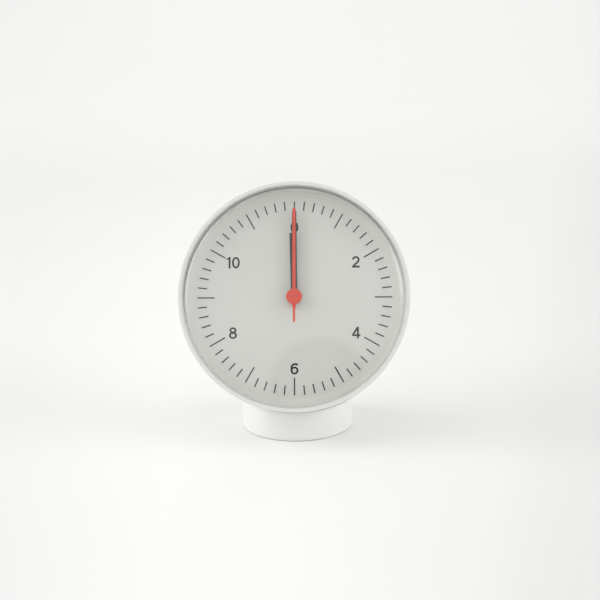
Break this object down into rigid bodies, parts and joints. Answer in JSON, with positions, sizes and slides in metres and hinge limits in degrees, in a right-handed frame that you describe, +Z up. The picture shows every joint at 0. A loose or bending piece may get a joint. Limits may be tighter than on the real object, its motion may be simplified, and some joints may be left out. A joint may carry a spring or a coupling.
{
  "type": "analogue table clock",
  "caption": "Round drum-shaped quartz table clock leaning back on a short round foot, with a domed clear window, light dial, three hands, setting knob and battery hatch behind.",
  "frame": {"origin": "centre of the foot pad's underside, on the table", "axes": "+Z up, the dial faces -Y and leans back 20 degrees, +X to the right of a person reading the dial"},
  "size_m": [0.115, 0.0686, 0.1273],
  "materials": {
    "white_abs": "satin",
    "clear_window": "clear polished acrylic",
    "dial_grey": "matt",
    "dark_ink": "matt print",
    "hand_grey": "satin paint",
    "hand_orange": "satin paint",
    "movement_black": "matt",
    "acetal_white": "natural acetal",
    "copper_wire": "enamelled wire",
    "soft_iron": "plain",
    "magnet_grey": "sintered",
    "board_green": "solder mask",
    "bright_steel": "zinc plated",
    "battery_wrap": "printed sleeve",
    "foot_rubber": "matt"
  },
  "bodies": {
    "clock": {"front_case": "white_abs", "lens": "clear_window", "spacer_ring": "dial_grey", "dial": "dial_grey", "minute_marks": "dark_ink", "hour_marks": "dark_ink", "numerals": "dark_ink", "dial_carrier": "movement_black", "movement_housing": "movement_black", "train_plate": "acetal_white", "movement_cover": "movement_black", "movement_screws": "bright_steel", "coil_bobbin": "acetal_white", "coil_winding": "copper_wire", "coil_core": "soft_iron", "stator": "soft_iron", "circuit_board": "board_green", "quartz_crystal": "bright_steel", "timing_chip": "movement_black", "battery_cell": "battery_wrap", "positive_contact": "bright_steel", "negative_contact": "bright_steel", "rear_case": "white_abs", "case_screws": "bright_steel", "base_shell": "white_abs", "base_fixing_screws": "bright_steel", "base_weight": "soft_iron", "base_plate": "movement_black", "base_plate_screws": "bright_steel", "foot_pad": "foot_rubber"},
    "minute": {"minute_hand": "hand_grey", "cannon_pinion": "acetal_white"},
    "hour": {"hour_hand": "hand_grey", "hour_wheel": "acetal_white"},
    "setting": {"motion_wheel": "acetal_white", "setting_knob": "white_abs"},
    "second": {"second_hand": "hand_orange", "seconds_wheel": "acetal_white"},
    "third": {"third_wheel": "acetal_white"},
    "centre": {"centre_wheel": "acetal_white"},
    "intermediate": {"intermediate_wheel": "acetal_white"},
    "rotor": {"rotor_pinion": "acetal_white", "rotor_magnet": "magnet_grey"},
    "battery_door": {"battery_door": "white_abs"}
  },
  "joints": [
    {"name": "minute_hand_turn", "type": "hinge", "parent": "clock", "child": "minute", "pos_m": [0, -0.00684, 0.06861], "axis": [0, 0.9397, -0.342], "continuous": true},
    {"name": "hour_hand_turn", "type": "hinge", "parent": "clock", "child": "hour", "pos_m": [0, -0.00778, 0.06895], "axis": [0, 0.9397, -0.342], "continuous": true},
    {"name": "setting_knob_turn", "type": "hinge", "parent": "clock", "child": "setting", "pos_m": [-0.00935, 0.00064, 0.07163], "axis": [0, 0.9397, -0.342], "continuous": true},
    {"name": "second_hand_turn", "type": "hinge", "parent": "clock", "child": "second", "pos_m": [0, -0.00309, 0.06724], "axis": [0, 0.9397, -0.342], "continuous": true},
    {"name": "third_wheel_turn", "type": "hinge", "parent": "clock", "child": "third", "pos_m": [0.00985, -0.00218, 0.06972], "axis": [0, 0.9397, -0.342], "continuous": true},
    {"name": "centre_wheel_turn", "type": "hinge", "parent": "clock", "child": "centre", "pos_m": [0, -0.00496, 0.06793], "axis": [0, 0.9397, -0.342], "continuous": true},
    {"name": "intermediate_wheel_turn", "type": "hinge", "parent": "clock", "child": "intermediate", "pos_m": [0.00069, 0.00149, 0.07397], "axis": [0, 0.9397, -0.342], "continuous": true},
    {"name": "rotor_turn", "type": "hinge", "parent": "clock", "child": "rotor", "pos_m": [-0.0017, 0.00562, 0.07947], "axis": [0, 0.9397, -0.342], "continuous": true},
    {"name": "battery_door_pull", "type": "slide", "parent": "clock", "child": "battery_door", "axis": [0, 0.9397, -0.342], "range_m": [0, 0.03]}
  ],
  "couplings": [
    {"joint": "setting_knob_turn", "follows": "minute_hand_turn", "ratio": -0.33333},
    {"joint": "hour_hand_turn", "follows": "minute_hand_turn", "ratio": 0.083333},
    {"joint": "third_wheel_turn", "follows": "second_hand_turn", "ratio": -0.13333},
    {"joint": "centre_wheel_turn", "follows": "second_hand_turn", "ratio": 0.016667},
    {"joint": "intermediate_wheel_turn", "follows": "second_hand_turn", "ratio": -5},
    {"joint": "rotor_turn", "follows": "second_hand_turn", "ratio": 30}
  ]
}
